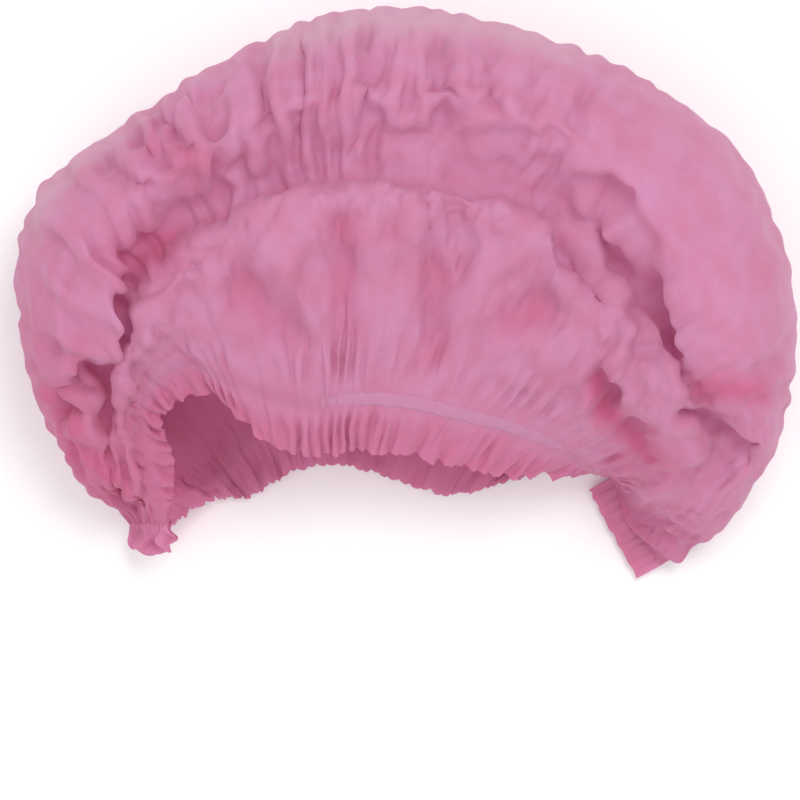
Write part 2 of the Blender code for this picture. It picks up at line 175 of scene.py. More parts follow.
# Smooth random swells over the sheet: the height, and how many lie along and across it
Swell = namedtuple("Swell", "height along across")
WANDER = (Swell(1.3, 24, 3), Swell(0.7, 46, 30))
UNEVENNESS = (Swell(0.60, 26, 6), Swell(0.45, 60, 26))
FRILL_SWELLS = (Swell(1.5, 50, 4),)
CRUMPLES = (Swell(0.0018, 24, 40), Swell(0.0005, 70, 90))

# The crumples are full near the left end and slight from this section on. They end this many
# stations past the side.
CRUMPLE_END = 3.2
SLIGHT_CRUMPLE = 0.10
CRUMPLE_PAST_SIDE = 0.5

# Swellings without direction: the square in plan over which they are spread, the sizes of lumps
# and crinkles, all in metres, how far the large and the small ones are turned, the level of
# their creases, and the small ones' share of the height.
PLAN_REACH = 0.36
LUMP_SIZE = 0.016
CRINKLE_SIZE = 0.007
LARGE_PUFF_TURN_DEG = 28.0
SMALL_PUFF_TURN_DEG = 63.0
PUFF_LEVEL = 0.35
SMALL_PUFF_SHARE = 0.5

# Sections over which the large and the small folds come in from the end seals
LARGE_FADE = 0.7
SMALL_FADE = 0.5

# How strongly the crown is pleated at places along it, which count sections: tight is for the
# fine folds and loose for the others.
Zone = namedtuple("Zone", "section tight loose")
ZONES = (
    Zone(0.0, 0.6, 1.0),
    Zone(2.0, 0.6, 1.0),
    Zone(3.0, 1.7, 0.9),
    Zone(5.0, 1.5, 0.8),
    Zone(6.0, 0.9, 0.9),
    Zone(7.5, 0.8, 0.8),
    Zone(9.0, 0.6, 0.7),
    Zone(11.0, 0.7, 0.6),
    Zone(13.0, 1.0, 1.0),
)

# Dents and swellings of the form, as in the part's source: place in sections and stations,
# reach in the same units, and height as a share of the crown height.
Dent = namedtuple("Dent", "section station reach_section reach_station height")
DENTS = (
    Dent(2.1, 2.9, 0.55, 0.45, -0.05),
    Dent(3.9, 2.1, 0.50, 0.50, -0.05),
    Dent(5.0, 1.9, 0.40, 0.70, 0.04),
    Dent(6.9, 2.0, 0.35, 0.80, -0.05),
    Dent(8.3, 2.2, 0.45, 0.45, -0.07),
    Dent(8.8, 3.0, 0.60, 0.35, -0.10),
    Dent(9.5, 4.5, 0.60, 0.60, 0.04),
    Dent(10.4, 1.7, 0.45, 0.40, -0.08),
    Dent(11.2, 2.6, 0.35, 0.40, -0.06),
    Dent(6.0, 4.2, 0.70, 0.45, -0.04),
    Dent(2.5, 3.45, 1.00, 0.28, 0.07),
    Dent(9.4, 3.50, 1.30, 0.28, 0.05),
)

# Creases and ridges that show from above: plan points in shares of half the width and half the
# length, the reach to each side and the height, both in metres.
Crease = namedtuple("Crease", "reach height points")
CREASES = (
    Crease(
        0.0036,
        -0.004,
        (
            (-0.70, -0.02), (-0.66, 0.13), (-0.52, 0.26), (-0.32, 0.34), (-0.18, 0.40), (0.00, 0.40),
            (0.20, 0.38), (0.38, 0.27), (0.45, 0.06), (0.58, -0.09),
        ),
    ),
    Crease(0.0016, -0.002, ((-0.10, 0.51), (0.10, 0.52), (0.40, 0.50))),
    Crease(0.0030, -0.008, ((0.45, 0.38), (0.54, 0.29), (0.61, 0.13), (0.645, -0.04), (0.67, -0.18))),
    Crease(0.0036, 0.005, ((0.45, 0.40), (0.48, 0.16), (0.57, -0.10))),
    Crease(0.0050, 0.009, ((0.54, 0.22), (0.59, 0.06), (0.62, -0.08), (0.655, -0.22), (0.70, -0.34))),
    Crease(0.0022, -0.006, ((0.66, -0.18), (0.69, -0.28), (0.70, -0.40), (0.78, -0.44), (0.88, -0.56))),
    Crease(0.0028, -0.008, ((-0.75, 0.03), (-0.69, -0.12), (-0.78, -0.28), (-0.89, -0.47))),
    Crease(0.0042, -0.004, ((-0.15, 0.22), (-0.13, -0.10))),
    Crease(0.0022, 0.003, ((-0.28, 0.09), (-0.20, -0.12), (-0.18, -0.32))),
    Crease(0.0013, -0.003, ((0.06, 0.34), (0.07, 0.08), (0.07, -0.19))),
    Crease(0.0013, -0.003, ((0.15, 0.32), (0.15, 0.05))),
    Crease(0.0040, -0.003, ((0.10, 0.12), (0.10, -0.22))),
    Crease(0.0060, -0.006, ((-0.40, 0.02), (-0.28, -0.12))),
    Crease(0.0050, -0.005, ((0.27, 0.02), (0.36, -0.10))),
    Crease(0.0016, 0.003, ((0.37, 0.16), (0.40, -0.04))),
    Crease(0.0018, 0.004, ((0.55, -0.14), (0.53, -0.27), (0.46, -0.38))),
    Crease(0.0016, 0.003, ((0.23, -0.25), (0.33, -0.32))),
    Crease(0.0018, -0.005, ((-0.35, 0.84), (-0.34, 0.54))),
    Crease(0.0016, -0.005, ((-0.25, 0.87), (-0.24, 0.50))),
    Crease(0.0018, -0.005, ((-0.08, 0.88), (-0.08, 0.55))),
    Crease(0.0018, -0.005, ((0.10, 0.86), (0.10, 0.55))),
    Crease(0.0016, -0.004, ((0.22, 0.82), (0.22, 0.60))),
    Crease(0.0015, -0.003, ((-0.46, 0.76), (-0.43, 0.52))),
    Crease(0.0015, -0.003, ((-0.17, 0.88), (-0.16, 0.62))),
    Crease(0.0015, -0.003, ((0.03, 0.88), (0.02, 0.60))),
    Crease(0.0016, -0.003, ((0.33, 0.78), (0.31, 0.58))),
    Crease(0.0016, -0.003, ((0.46, 0.70), (0.42, 0.54))),
    Crease(0.0018, -0.004, ((-0.54, 0.70), (-0.47, 0.52))),
    Crease(0.0018, -0.004, ((-0.61, 0.64), (-0.51, 0.46))),
    Crease(0.0018, -0.004, ((-0.68, 0.56), (-0.57, 0.40))),
    Crease(0.0018, -0.004, ((-0.75, 0.46), (-0.62, 0.34))),
    Crease(0.0045, 0.010, ((-0.75, 0.03), (-0.735, -0.08), (-0.74, -0.18))),
    Crease(0.0030, -0.010, ((0.50, -0.29), (0.52, -0.40))),
    Crease(0.0024, -0.006, ((0.57, -0.47), (0.62, -0.55))),
    Crease(0.0110, 0.005, ((0.63, -0.36), (0.67, -0.62))),
    Crease(0.0022, 0.004, ((0.51, -0.61), (0.57, -0.71), (0.64, -0.82), (0.74, -0.92))),
)

# How quickly the creases come in where the sheet turns from upright to level
CREASE_SLOPE = 2.0

# Where the cloth is deeper in colour, because more layers lie there and as painted shade along the
# creases,
# and where it is sheerer and paler, with painted sheen and light through the cloth on the outline's
# crests:
# lines in plan as for the creases, the reach to each side in metres, and both amounts.
Tint = namedtuple("Tint", "reach deep sheer points")
TINTS = (
    Tint(0.0085, 0.0, 1.0, ((-0.30, 0.88), (-0.10, 0.94), (0.20, 0.94), (0.42, 0.86))),
    Tint(0.0075, 0.0, 0.8, ((-0.94, 0.26), (-0.84, 0.46), (-0.70, 0.60))),
    Tint(0.0110, 0.8, 0.0, ((-0.88, -0.38), (-0.82, -0.56), (-0.72, -0.66))),
    Tint(0.0090, 0.6, 0.0, ((-0.67, 0.10), (-0.58, 0.16))),
    Tint(0.0080, 0.4, 0.0, ((-0.52, 0.42), (-0.60, 0.50))),
    Tint(0.0080, 0.4, 0.0, ((-0.38, 0.02), (-0.32, -0.10))),
    Tint(0.0050, 0.8, 0.0, ((0.75, -0.33), (0.88, -0.34))),
    Tint(0.0070, 0.4, 0.0, ((0.26, -0.12), (0.34, -0.05))),
    Tint(0.0055, 0.4, 0.0, ((-0.14, 0.22), (-0.13, -0.12))),
    Tint(0.0060, 0.3, 0.0, ((0.08, 0.12), (0.09, -0.22))),
    Tint(0.0070, 0.6, 0.0, ((0.55, -0.72), (0.64, -0.92))),
    Tint(0.0080, 0.4, 0.0, ((0.57, -0.60), (0.70, -0.62))),
    Tint(0.0045, 0.9, 0.0, ((0.49, -0.30), (0.51, -0.40), (0.58, -0.48), (0.64, -0.56))),
)

# How deep the colour is where gathers and layers lie close, with painted shade among the gathers and under
# the front rim: at places along the cloth's width, which count stations, and along its length, which count
# sections
Depth = namedtuple("Depth", "place deep")
DEPTHS_ACROSS = (
    Depth(0.0, 0.55), Depth(0.4, 0.45), Depth(0.65, 0.20), Depth(0.9, 0.05), Depth(1.2, 0.0),
    Depth(7.0, 0.0), Depth(8.0, 0.4), Depth(10.0, 0.45),
)
DEPTHS_ALONG = (
    Depth(0.0, 0.5), Depth(1.6, 0.45), Depth(2.6, 0.0), Depth(11.6, 0.0), Depth(13.0, 0.4),
)

# The station where the tints end, and the stations over which they fade before it
TINT_STOP = 6.5
TINT_FADE = 1.5

# Colours, linear
CLOTH_LIGHT = (0.71, 0.34, 0.55, 1.0)
CLOTH_DEEP = (0.69, 0.27, 0.43, 1.0)
# Deep pink where layers stack, and painted shade along creases, among the gathers and under the front rim
LAYERED_AND_SHADED_PINK = (0.66, 0.15, 0.30, 1.0)
# Pale pink where the cloth is sheer, and painted sheen and light through the cloth on the outline's crests
SHEER_AND_SHEEN_PINK = (0.72, 0.47, 0.58, 1.0)
ELASTIC_PALE = (0.72, 0.33, 0.53, 1.0)
SEALED_PINK = (0.80, 0.32, 0.54, 1.0)
SHEEN_PINK = (1.0, 0.84, 0.93, 1.0)
FLOOR_WHITE = (0.90, 0.90, 0.90, 1.0)
WORLD_WHITE = (1.0, 1.0, 1.0, 1.0)

# The cloth's surface. Scales are per metre of flat cloth, and spreads are the lowest and highest
# value that counts.
FIBRE_SCALE = 900.0
FIBRE_SHARE = 0.5
CLOUD_SCALE = 60.0
CLOUD_SPREAD = (0.30, 0.70)
DOT_SCALE = 800.0
DOT_SPREAD = (0.20, 0.32)
DOT_TURN_DEG = 45.0
BUMP_STRENGTH = 0.25
BUMP_DEPTH = 0.0002
CLOTH_ROUGHNESS = 0.78
CLOTH_SPECULAR = 0.25
SHEEN = 0.35
SHEEN_ROUGHNESS = 0.5

# The share of light that comes through as a glow, and the share that passes straight through
# the cloth, through its sheerest places, and through the pressed and elastic pieces
GLOW_SHARE = 0.42
CLOTH_SEE_THROUGH = 0.02
SHEER_SEE_THROUGH = 0.04
PRESSED_SEE_THROUGH = 0.0

# The relaxation of the large and the small folds: rounds, spare length for all of the sheet, how
# firmly it keeps to its form, and how strongly it resists bending along and across. The pulls
# are how strongly lengths draw in a round, and no point moves further than the largest step.
Relaxation = namedtuple("Relaxation", "rounds spare hold bend_along bend_across")
LARGE = Relaxation(420, 0.000, 1.0, 0.012, 0.010)
SMALL = Relaxation(170, 0.020, 1.6, 0.032, 0.024)
PULL_ALONG = 0.45
PULL_ACROSS = 0.40
PULL_SLANT = 0.12
MOMENTUM = 0.78
LARGEST_STEP = 0.0006
FOLD_MEMORY = 0.85

# The firmest hold inside the sheet, and the hold at the end seals with its reach in sections
FIRMEST_HOLD = 0.08
SEAL_HOLD = 0.3
SEAL_HOLD_REACH = 0.25

# More spare length towards the end seals: how much for each section, from which section, and
# over how many sections
LEFT_BUNCH = 0.03
LEFT_BUNCH_END = 2.6
RIGHT_BUNCH = 0.02
RIGHT_BUNCH_START = 11.0
BUNCH_REACH = 1.5

# The sheet as it was cut: along the gathers, and across from rim to rim
FLAT_LENGTH = 0.53
FLAT_WIDTH = 0.44

# The cloth pieces by the stations between which they lie, each with the CAD node it stands for,
# the flat size of the cloth that it holds, and what it lies on or hangs from
Piece = namedtuple("Piece", "name first last node slot length width rests_on")
PIECES = (
    Piece("front_hem", "rim", "band", "front_band", "band_cloth", 0.31, 0.027, "crown_front"),
    Piece("crown_front", "band", "valley", "crown", "crown_cloth", 0.44, 0.075, "crown_roll"),
    Piece("crown_roll", "valley", "side", "crown", "crown_cloth", 0.53, 0.115, "crown_back"),
    Piece("crown_back", "side", "rear_band", "crown", "crown_cloth", 0.50, 0.130, "floor"),
    Piece("rear_hem", "rear_band", "rear_rim", "rear_band", "band_cloth", 0.27, 0.027, "crown_back"),
)

# How far the elastic lies over the middle of the gathers, in metres, by sections: it shows from
# above in the middle, and lies in the gathers towards both ends.
Rise = namedtuple("Rise", "section rise")
RISES = (
    Rise(1.3, -0.0006),
    Rise(4.8, -0.0006),
    Rise(6.6, 0.0000),
    Rise(9.0, 0.0000),
    Rise(10.4, -0.0006),
    Rise(11.7, -0.0006),
)
REAR_RISE = 0.0012

# The elastics: sections left free at each end, folds over which their line is smoothed, rows of
# a face, the length of the cloth in them, and in metres how far a face swells, how far the back
# lies under the line, and the ripple that the stitches leave, with its turn for each column.
ELASTIC_STOP = 1.3
ELASTIC_SMOOTHING = 0.4
ELASTIC_ROWS = 7
ELASTIC_LENGTH = 0.25
ELASTIC_SWELL = 0.0004
ELASTIC_BACK = 0.0002
ELASTIC_RIPPLE = 0.00006
RIPPLE_TURN = 0.9

# The end seals: columns along the weld and points around it, how many times its depth a seal
# reaches in, and the powers that round the edge and flatten the faces. The thickness is shared
# between all of it, its middle and its inner side.
SEAL_COLUMNS = 121
SEAL_POINTS = 64
SEAL_OVERLAP = 1.2
SEAL_EDGE_POWER = 0.55
SEAL_FACE_POWER = 0.45
SEAL_END_POWER = 0.5
SEAL_ALL = 0.25
SEAL_MIDDLE = 0.55
SEAL_INNER = 0.2

# Details of the end seals, with heights in metres and counts for the whole length: the ragged
# cut edge, the stacked pleats, the two lines of weld marks, and the swells of the crumple.
RAGGED_EDGE = 0.0010
RAGGED_SWELLS = (22, 2)
RAGGED_SHARE = 0.3
RAGGED_BY_CRUMPLE = 500
PLEAT_HEIGHT = 0.0005
PLEATS = 9
PLEAT_DRIFT = 0.9
PLEAT_SWELLS = (7, 2)
WELD_LINES = (0.30, 0.62)
WELD_LINE_REACH = 0.07
WELD_DEPTH = 0.0003
WELD_MARKS = 24
WELD_MARK_SHARE = 0.4
CRUMPLE_SWELLS = (10, 3)

# Lights, with places in metres
Light = namedtuple("Light", "name place size power colour")
LIGHTS = (
    Light("key", (0.30, 0.42, 1.3), 0.6, 6.5, (1.0, 0.99, 0.98)),
    Light("fill", (-0.4, -0.6, 1.2), 1.2, 3.0, (0.98, 0.985, 1.0)),
)
WORLD_STRENGTH = 0.93
FLOOR_HALF = 3.0
FLOOR_ROUGHNESS = 0.9

# The camera: the size of a pixel at the outline, the row of the photograph's frame that holds
# the cap's middle, and heights over the floor
FRAME_PIXELS = 800
METRES_PER_PIXEL = 0.000345
MIDDLE_ROW = 295
CAMERA_HEIGHT = 1.2
OUTLINE_HEIGHT = 0.045
SENSOR_WIDTH = 36.0

# Guards against a division by zero
TINY = 1e-12
TINY_LENGTH = 1e-9


def smooth_weights(t):
    """Weights of four neighbouring values for a smooth curve through the middle two."""
    return np.stack(
        [
            -0.5 * t + t**2 - 0.5 * t**3,
            1.0 - 2.5 * t**2 + 1.5 * t**3,
            0.5 * t + 2.0 * t**2 - 1.5 * t**3,
            -0.5 * t**2 + 0.5 * t**3,
        ],
        axis=-1,
    )


def plan_point(share_x, share_y, z):
    return np.array([share_x * CAP_WIDTH / 2, share_y * CAP_LENGTH / 2, z])


def seal_axes(seal):
    """Unit vectors along the weld, out of the cut edge, and out of the cap's upper side."""
    weld = Vector(seal.weld).normalized()
    faces = Vector(seal.faces)
    faces = (faces - weld * faces.dot(weld)).normalized()
    out = faces.cross(weld) * seal.side
    return np.array(weld), np.array(faces), np.array(out)


def seal_corner(seal):
    return plan_point(seal.corner_x, seal.corner_y, seal.corner_z * CROWN_HEIGHT)


def frame_shift():
    """How far the part's source moved the cap in plan to centre its footprint."""
    weld, faces, out = seal_axes(RIGHT_SEAL)
    corner = seal_corner(RIGHT_SEAL)
    reach = [
        corner - faces * depth + weld * along + out * height
        for depth in (0.0, SEAL_DEPTH)
        for along in (0.0, SEAL_LENGTH)
        for height in (-SEAL_THICKNESS / 2, SEAL_THICKNESS / 2)
    ]
    shift = np.array(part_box(RIGHT_SEAL.name)[0]) - np.min(reach, axis=0)
    return shift * np.array([1.0, 1.0, 0.0])


SHIFT = frame_shift()


def end_section(seal):
    """The sheet's profile where it runs into an end seal: pressed flat, upper side over lower."""
    weld, faces, out = seal_axes(seal)
    start = seal_corner(seal) - faces * (SEAL_DEPTH + SEAL_GAP)
    points = []
    for index, share in enumerate(SEAL_SHARES):
        lift = np.sign(UPPER_STATIONS - index) * SEAL_STACK / 2
        points.append(start + weld * share * SEAL_LENGTH + out * lift)
    return np.array(points)


def open_section(row):
    """The sheet's profile at one section of the open cap, as one point for each station."""
    rim = plan_point(row.rim_x, row.rim_y, row.rim_z * CROWN_HEIGHT)
    outline = plan_point(row.out_x, row.out_y, 0.0)
    spoke = (outline - rim) * np.array([1.0, 1.0, 0.0])
    reach = np.linalg.norm(spoke)
    spoke = spoke / reach

    def on_spoke(distance, z):
        return np.array([rim[0], rim[1], 0.0]) + spoke * distance + np.array([0.0, 0.0, z])

    rise = math.radians(BAND_RISE_DEG)
    band = row.band * BAND_WIDTH
    band_reach = band * math.cos(rise)
    beyond = reach - band_reach
    roll_reach = band_reach + row.roll * beyond
    roll_z = row.roll_z * CROWN_HEIGHT
    side_z = SIDE_HEIGHT * row.roll_z
    quarter = math.sqrt(0.5)

    rear_rim = plan_point(row.low_x, row.low_y, row.low_lift * REAR_RIM_LIFT)
    under = (outline - rear_rim) * np.array([1.0, 1.0, 0.0])
    under = under / np.linalg.norm(under)
    rear_band = rear_rim + under * band
    rear_band[2] = ELASTIC_LIFT * row.low_lift
    foot = outline - under * FOOT_INSET * row.roll_z
    floor = foot + (rear_band - foot) * FLOOR_REACH
    floor[2] = 0.0

    return np.array(
        [
            rim,
            on_spoke(band_reach, rim[2] + band * math.sin(rise)),
            on_spoke(band_reach + row.lobe * beyond, row.lobe_z * CROWN_HEIGHT),
            on_spoke(band_reach + row.valley * beyond, row.valley_z * CROWN_HEIGHT),
            on_spoke(roll_reach, roll_z),
            on_spoke(roll_reach + quarter * (reach - roll_reach), side_z + quarter * (roll_z - side_z)),
            outline + np.array([0.0, 0.0, side_z]),
            foot,
            floor,
            rear_band,
            rear_rim,
        ]
    )


def control_net():
    """Every section's profile from the left seal to the right one, with one row beyond each."""
    rows = [end_section(LEFT_SEAL)]
    rows += [open_section(row) for row in SECTIONS]
    rows.append(end_section(RIGHT_SEAL))
    beyond_left = rows[0] + seal_axes(LEFT_SEAL)[1] * SEAL_RUN_OUT
    beyond_right = rows[-1] + seal_axes(RIGHT_SEAL)[1] * SEAL_RUN_OUT
    return np.array([beyond_left, *rows, beyond_right]) + SHIFT


NET = control_net()


def surface(u, v):
    """Points of the smooth sheet. u counts sections and v counts stations."""
    row = np.clip(np.floor(u).astype(int), 0, int(LAST_SECTION) - 1)
    column = np.clip(np.floor(v).astype(int), 0, len(STATIONS) - 2)
    by_u = smooth_weights(u - row)
    by_v = smooth_weights(v - column)
    padded = np.concatenate([2 * NET[:, :1] - NET[:, 1:2], NET, 2 * NET[:, -1:] - NET[:, -2:-1]], axis=1)
    points = np.zeros(u.shape + (3,))
    for i in range(4):
        for j in range(4):
            points += (by_u[..., i] * by_v[..., j])[..., None] * padded[row + i, column + j]
    return above_floor(points)


def above_floor(points):
    points[..., 2] = np.maximum(points[..., 2], SURFACE_GAP)
    return points


def unit(vectors):
    return vectors / np.maximum(np.linalg.norm(vectors, axis=-1, keepdims=True), TINY)


def grid_normals(points):
    """Unit normals of a grid of points, pointing out of the cap."""
    return unit(np.cross(np.gradient(points, axis=0), np.gradient(points, axis=1)))


def smooth_noise(u, v, u_cells, v_cells):
    """Smooth random values of about -1 to 1, with that many swells along and across the sheet."""
    knots = RANDOM.uniform(-1.0, 1.0, (u_cells + 4, v_cells + 4))
    along = np.clip(u / LAST_SECTION, 0.0, 0.999999) * u_cells
    across = np.clip(v / V_REAR_RIM, 0.0, 0.999999) * v_cells
    first, second = np.floor(along).astype(int), np.floor(across).astype(int)
    by_u, by_v = smooth_weights(along - first), smooth_weights(across - second)
    values = np.zeros(u.shape)
    for i in range(4):
        for j in range(4):
            values += by_u[..., i] * by_v[..., j] * knots[first + i, second + j]
    return values


def swells(u, v, rows, start=0.0):
    """A sum of random swells over the sheet, added to a starting value."""
    return sum((row.height * smooth_noise(u, v, row.along, row.across) for row in rows), start)


def plan_noise(points, cell, turn_deg):
    """Smooth random values of about -1 to 1 by places in plan, with swells of the given size."""
    x, y = points[..., 0] - SHIFT[0], points[..., 1] - SHIFT[1]
    turn = math.radians(turn_deg)
    share_x = (x * math.cos(turn) + y * math.sin(turn)) / PLAN_REACH + 0.5
    share_y = (y * math.cos(turn) - x * math.sin(turn)) / PLAN_REACH + 0.5
    cells = round(PLAN_REACH / cell)
    return smooth_noise(share_x * LAST_SECTION, share_y * V_REAR_RIM, cells, cells)


def across_sheet(v, name):
    """A column of the folding table at every v."""
    return np.interp(v, [row.place for row in FOLDING], [getattr(row, name) for row in FOLDING])


def along_sheet(u, v, name):
    """A column of the zone table at every u, for the crown alone."""
    value = np.interp(u, [row.section for row in ZONES], [getattr(row, name) for row in ZONES])
    crown = np.clip(v - V_LOBE, 0.0, 1.0) * np.clip(V_FLOOR - v, 0.0, 1.0)
    return 1.0 + (value - 1.0) * crown


def fade_to_seals(u, reach):
    """0 at both end seals, and 1 from the given number of sections inwards."""
    share = np.clip(np.minimum(u, LAST_SECTION - u) / reach, 0.0, 1.0)
    return share * share * (3 - 2 * share)


def fold_phase(u, v, per_section, drift):
    """How far along its folds the sheet is, in turns, with an uneven spacing."""
    return u * per_section + drift * swells(u, v, WANDER)


def fold_wave(phase):
    """Rounded ridges between sharp troughs."""
    return RIDGE_RISE * np.abs(np.cos(math.pi * phase)) ** RIDGE_POWER - TROUGH_DROP


def fold_height(u, v):
    """Uneven heights of the folds, as shares of the table's."""
    return np.clip(swells(u, v, UNEVENNESS, MEAN_FOLD), LEAST_FOLD, GREATEST_FOLD)


def puffs(points, cell):
    """Soft swellings of two sizes with narrow creases between them."""
    large = np.abs(plan_noise(points, cell, LARGE_PUFF_TURN_DEG)) - PUFF_LEVEL
    small = np.abs(plan_noise(points, cell / 2, SMALL_PUFF_TURN_DEG)) - PUFF_LEVEL
    return large + SMALL_PUFF_SHARE * small


def distance_to_line(x, y, points):
    """Distance in plan from every place to a line through the given points."""
    nearest = np.full(x.shape, np.inf)
    for (ax, ay), (bx, by) in zip(points[:-1], points[1:]):
        dx, dy = bx - ax, by - ay
        share = np.clip(((x - ax) * dx + (y - ay) * dy) / (dx * dx + dy * dy), 0.0, 1.0)
        nearest = np.minimum(nearest, np.hypot(x - ax - share * dx, y - ay - share * dy))
    return nearest


def near_line(points, line, reach):
    """1 on a line given in plan shares, and falling to 0 beyond its reach."""
    places = [tuple(plan_point(x, y, 0.0)[:2] + SHIFT[:2]) for x, y in line]
    return np.exp(-((distance_to_line(points[..., 0], points[..., 1], places) / reach) ** 2))


def formed_sheet(u, v):
    """The sheet's form with its large dents, swellings and creases."""
    form = surface(u, v)
    normal = grid_normals(form)
    height = np.zeros(u.shape)
    for dent in DENTS:
        across = ((u - dent.section) / dent.reach_section) ** 2
        along = ((v - dent.station) / dent.reach_station) ** 2
        height += dent.height * CROWN_HEIGHT * np.exp(-(across + along))
    upper = np.clip(normal[..., 2] * CREASE_SLOPE, 0.0, 1.0) * (v < UPPER_STATIONS)
    for crease in CREASES:
        height += crease.height * near_line(form, crease.points, crease.reach) * upper
    return above_floor(form + normal * height[..., None])


def large_folds(form, u, v):
    """Heights of the pleats and the crumples at both ends, from which the large folds settle."""
    middle = fold_wave(fold_phase(u, v, MIDDLE_FOLDS, MIDDLE_DRIFT)) * fold_height(u, v)
    coarse = fold_wave(fold_phase(u, v, COARSE_FOLDS, COARSE_DRIFT)) * fold_height(u, v)
    relief = across_sheet(v, "middle") * middle + across_sheet(v, "coarse") * coarse
    relief = relief * along_sheet(u, v, "loose") + across_sheet(v, "lumps") * puffs(form, LUMP_SIZE)
    relief = relief * fade_to_seals(u, LARGE_FADE)
    crumple = swells(u, v, CRUMPLES) * np.clip(CRUMPLE_END - u, SLIGHT_CRUMPLE, 1.0)
    crumple = crumple * np.clip(v / V_LOBE, 0.0, 1.0)
    relief += crumple * (v < UPPER_STATIONS + CRUMPLE_PAST_SIDE)
    return relief


def edge_lengths(points, axis):
    return np.linalg.norm(np.diff(points, axis=axis), axis=-1)


def pull_pairs(move, points, first, second, rest, pull):
    """Adds to move what brings each pair of points to its rest length."""
    gap = points[second] - points[first]
    length = np.sqrt(np.einsum("ijk,ijk->ij", gap, gap)) + TINY_LENGTH
    gap *= (0.5 * pull * (length - rest) / length)[..., None]
    move[first] += gap
    move[second] -= gap


def relaxed(form, start, u, spare_u, spare_v, hold, stage):
    """Lets the spare length of the gathered sheet settle into folds of its own."""
    spare_u, spare_v = spare_u + stage.spare, spare_v + stage.spare
    rest_u = (edge_lengths(start, 0) * 0.5 * (spare_u[1:] + spare_u[:-1])).astype(np.float32)
    rest_v = (edge_lengths(start, 1) * 0.5 * (spare_v[:, 1:] + spare_v[:, :-1])).astype(np.float32)
    slant = np.s_[:-1, :-1], np.s_[1:, 1:]
    other = np.s_[1:, :-1], np.s_[:-1, 1:]
    rest_slant = np.linalg.norm(start[slant[1]] - start[slant[0]], axis=-1).astype(np.float32)
    rest_other = np.linalg.norm(start[other[1]] - start[other[0]], axis=-1).astype(np.float32)
    hold = np.minimum(stage.hold * hold, FIRMEST_HOLD)
    hold = np.maximum(hold, SEAL_HOLD * (1 - fade_to_seals(u, SEAL_HOLD_REACH)))
    hold[0] = hold[-1] = 1.0
    hold = hold.astype(np.float32)[..., None]
    points = start.astype(np.float32)
    form = form.astype(np.float32)
    speed = np.zeros_like(points)
    along = np.s_[:-1, :], np.s_[1:, :]
    across = np.s_[:, :-1], np.s_[:, 1:]
    for _ in range(stage.rounds):
        move = hold * (form - points)
        pull_pairs(move, points, *along, rest_u, PULL_ALONG)
        pull_pairs(move, points, *across, rest_v, PULL_ACROSS)
        pull_pairs(move, points, *slant, rest_slant, PULL_SLANT)
        pull_pairs(move, points, *other, rest_other, PULL_SLANT)
        bend = points[2:] - 2 * points[1:-1] + points[:-2]
        move[1:-1] += 2 * stage.bend_along * bend
        move[2:] -= stage.bend_along * bend
        move[:-2] -= stage.bend_along * bend
        bend = points[:, 2:] - 2 * points[:, 1:-1] + points[:, :-2]
        move[:, 1:-1] += 2 * stage.bend_across * bend
        move[:, 2:] -= stage.bend_across * bend
        move[:, :-2] -= stage.bend_across * bend
        speed = np.clip(MOMENTUM * speed + move, -LARGEST_STEP, LARGEST_STEP)
        points = above_floor(points + speed)
    return points.astype(float)


def filled_in(values, axis, step):
    """Smoothly adds step - 1 values between neighbours along an axis."""
    values = np.moveaxis(values, axis, 0)
    count = len(values) - 1
    padded = np.concatenate([2 * values[:1] - values[1:2], values, 2 * values[-1:] - values[-2:-1]])
    filled = np.zeros((count * step + 1,) + values.shape[1:])
    for part, weights in enumerate(smooth_weights(np.arange(step) / step)):
        filled[part:-1:step] = sum(weights[i] * padded[i : i + count] for i in range(4))
    filled[-1] = values[-1]
    return np.moveaxis(filled, 0, axis)


def settled_sheet(u, v):
    """The whole sheet: its large folds settle first, and then its gathers."""
    form = formed_sheet(u, v)
    few = np.s_[::STEP_ALONG, ::STEP_ACROSS]
    rough_form, rough_u, rough_v = form[few], u[few], v[few]
    relief = large_folds(rough_form, rough_u, rough_v)[..., None]
    normal = grid_normals(rough_form)
    bunch = LEFT_BUNCH * np.clip(LEFT_BUNCH_END - rough_u, 0.0, BUNCH_REACH)
    bunch += RIGHT_BUNCH * np.clip(rough_u - RIGHT_BUNCH_START, 0.0, BUNCH_REACH)
    rough = relaxed(
        rough_form + FOLD_MEMORY * normal * relief,
        above_floor(rough_form + normal * relief),
        rough_u,
        across_sheet(rough_v, "spare_u") + bunch,
        across_sheet(rough_v, "spare_v") + bunch,
        across_sheet(rough_v, "hold"),
        LARGE,
    )
    moved = filled_in(filled_in(rough - rough_form, 0, STEP_ALONG), 1, STEP_ACROSS)
    form = above_floor(form + moved)

    normal = grid_normals(form)
    phase = fold_phase(u, v, FINE_FOLDS, FINE_DRIFT)
    fade = fade_to_seals(u, SMALL_FADE)
    fine = across_sheet(v, "fine") * along_sheet(u, v, "tight") * fade * fold_height(u, v)
    gathers = normal * (fine * fold_wave(phase))[..., None]
    spoke = unit(np.gradient(form, axis=1))
    frill = swells(u, v, FRILL_SWELLS, fold_wave(phase + FRILL_LEAD))
    frill = across_sheet(v, "frill") * fade * frill
    gathers += spoke * frill[..., None]
    crinkle = across_sheet(v, "crinkle") * puffs(form, CRINKLE_SIZE) * fade
    gathers += normal * crinkle[..., None]
    start = above_floor(form + gathers)
    spare = np.ones(u.shape)
    return relaxed(form + FOLD_MEMORY * gathers, start, u, spare, spare, across_sheet(v, "hold"), SMALL)


def sheet_grid():
    """u and v at every mesh point."""
    across = [0.0]
    for station, count in enumerate(ROWS):
        across += [station + (step + 1) / count for step in range(count)]
    return np.meshgrid(np.linspace(0.0, LAST_SECTION, COLUMNS + 1), across, indexing="ij")


